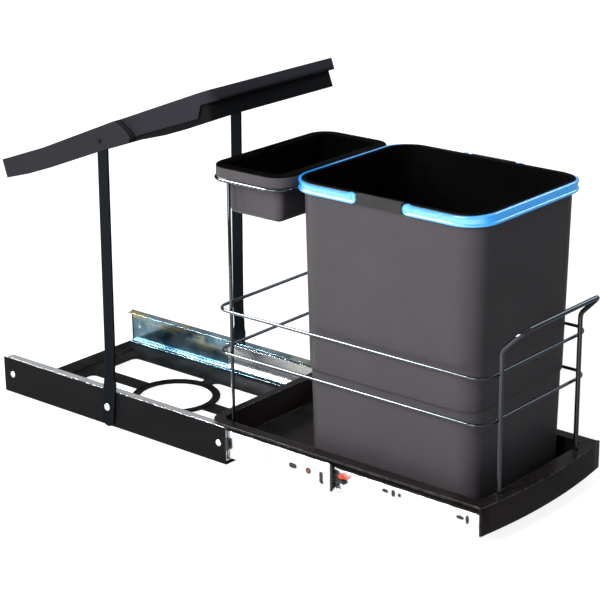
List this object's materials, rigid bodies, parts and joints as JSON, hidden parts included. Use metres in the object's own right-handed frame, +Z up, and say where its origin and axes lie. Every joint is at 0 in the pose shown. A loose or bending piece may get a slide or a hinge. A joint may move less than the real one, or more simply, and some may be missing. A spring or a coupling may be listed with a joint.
{
  "type": "pull out trash cabinet",
  "caption": "Pull-out waste unit: tray on full-extension ball-bearing slides between floor rails, wire frame, large and small bin, tilting lid on two posts.",
  "frame": {"origin": "on the floor under the middle of the whole unit, with the tray pulled out", "axes": "+X to the right seen from the front, -Y the pull direction, +Z up"},
  "size_m": [0.259, 0.819, 0.4752],
  "materials": {
    "rail": "charcoal powder coat",
    "zinc": "bright zinc",
    "rubber": "black, matt",
    "lever": "orange-red moulded",
    "post": "black powder coat",
    "lid": "charcoal moulded",
    "liner": "black moulded",
    "tray": "brown-black gloss",
    "wire": "black glossy coat",
    "bin": "dark grey moulded",
    "bail": "azure blue moulded"
  },
  "bodies": {
    "frame": {"base_plate": "rail", "rail_left": "rail", "rail_right": "rail", "rail_clip_left": "rubber", "rail_clip_right": "rubber", "slide_outer_left": "zinc", "slide_outer_right": "zinc", "rivet_front_left": "zinc", "rivet_front_right": "zinc", "rivet_rear_left": "zinc", "rivet_rear_right": "zinc", "post_left": "post", "post_right": "post", "post_bolt_left": "zinc", "post_bolt_right": "zinc", "lid_pin_left": "zinc", "lid_pin_right": "zinc"},
    "tray": {"tray": "tray", "slide_inner_left": "zinc", "slide_inner_right": "zinc", "ring_lower": "wire", "ring_upper": "wire", "ring_small_bin": "wire", "upright_left": "wire", "upright_right": "wire", "handle": "wire"},
    "middle_left": {"slide_middle_left": "zinc", "middle_stop_left": "rubber"},
    "middle_right": {"slide_middle_right": "zinc", "middle_stop_right": "rubber"},
    "cage_outer_left": {"cage_outer_left": "zinc"},
    "cage_outer_right": {"cage_outer_right": "zinc"},
    "cage_inner_left": {"cage_inner_left": "zinc"},
    "cage_inner_right": {"cage_inner_right": "zinc"},
    "lever_left": {"release_lever_left": "lever"},
    "lever_right": {"release_lever_right": "lever"},
    "lid": {"lid_rear_cover": "lid", "lid_front_cover": "lid", "lid_liner": "liner"},
    "big_bin": {"big_bin": "bin"},
    "small_bin": {"small_bin": "bin"},
    "bail_front": {"bail_front": "bail"},
    "bail_rear": {"bail_rear": "bail"}
  },
  "joints": [
    {"name": "tray_slide", "type": "slide", "parent": "frame", "child": "tray", "axis": [0, 1, 0], "range_m": [0, 0.37]},
    {"name": "middle_slide_left", "type": "slide", "parent": "frame", "child": "middle_left", "axis": [0, 1, 0], "range_m": [0, 0.185]},
    {"name": "middle_slide_right", "type": "slide", "parent": "frame", "child": "middle_right", "axis": [0, 1, 0], "range_m": [0, 0.185]},
    {"name": "cage_outer_slide_left", "type": "slide", "parent": "frame", "child": "cage_outer_left", "axis": [0, 1, 0], "range_m": [0, 0.0925]},
    {"name": "cage_outer_slide_right", "type": "slide", "parent": "frame", "child": "cage_outer_right", "axis": [0, 1, 0], "range_m": [0, 0.0925]},
    {"name": "cage_inner_slide_left", "type": "slide", "parent": "frame", "child": "cage_inner_left", "axis": [0, 1, 0], "range_m": [0, 0.2775]},
    {"name": "cage_inner_slide_right", "type": "slide", "parent": "frame", "child": "cage_inner_right", "axis": [0, 1, 0], "range_m": [0, 0.2775]},
    {"name": "lid_hinge", "type": "hinge", "parent": "frame", "child": "lid", "pos_m": [0, 0.19655, 0.3875], "axis": [1, 0, 0], "range_deg": [0, 16.25]},
    {"name": "big_bin_lift", "type": "slide", "parent": "tray", "child": "big_bin", "axis": [0, 0, -1], "range_m": [-0.36, 0]},
    {"name": "small_bin_lift", "type": "slide", "parent": "tray", "child": "small_bin", "axis": [0, 0, -1], "range_m": [-0.05, 0]},
    {"name": "bail_front_hinge", "type": "hinge", "parent": "big_bin", "child": "bail_front", "pos_m": [0, -0.2723, 0.37895], "axis": [1, 0, 0], "range_deg": [-95, 0]},
    {"name": "bail_rear_hinge", "type": "hinge", "parent": "big_bin", "child": "bail_rear", "pos_m": [0, -0.1883, 0.37895], "axis": [-1, 0, 0], "range_deg": [-95, 0]},
    {"name": "lever_hinge_left", "type": "hinge", "parent": "tray", "child": "lever_left", "pos_m": [-0.1155, -0.17895, 0.0275], "axis": [1, 0, 0], "range_deg": [-8, 8]},
    {"name": "lever_hinge_right", "type": "hinge", "parent": "tray", "child": "lever_right", "pos_m": [0.1155, -0.17895, 0.0275], "axis": [1, 0, 0], "range_deg": [-8, 8]}
  ],
  "couplings": [
    {"joint": "middle_slide_left", "follows": "tray_slide", "ratio": 0.5},
    {"joint": "middle_slide_right", "follows": "tray_slide", "ratio": 0.5},
    {"joint": "cage_outer_slide_left", "follows": "tray_slide", "ratio": 0.25},
    {"joint": "cage_outer_slide_right", "follows": "tray_slide", "ratio": 0.25},
    {"joint": "cage_inner_slide_left", "follows": "tray_slide", "ratio": 0.75},
    {"joint": "cage_inner_slide_right", "follows": "tray_slide", "ratio": 0.75},
    {"joint": "lid_hinge", "follows": "tray_slide", "rad_per_m": 0.7642}
  ]
}
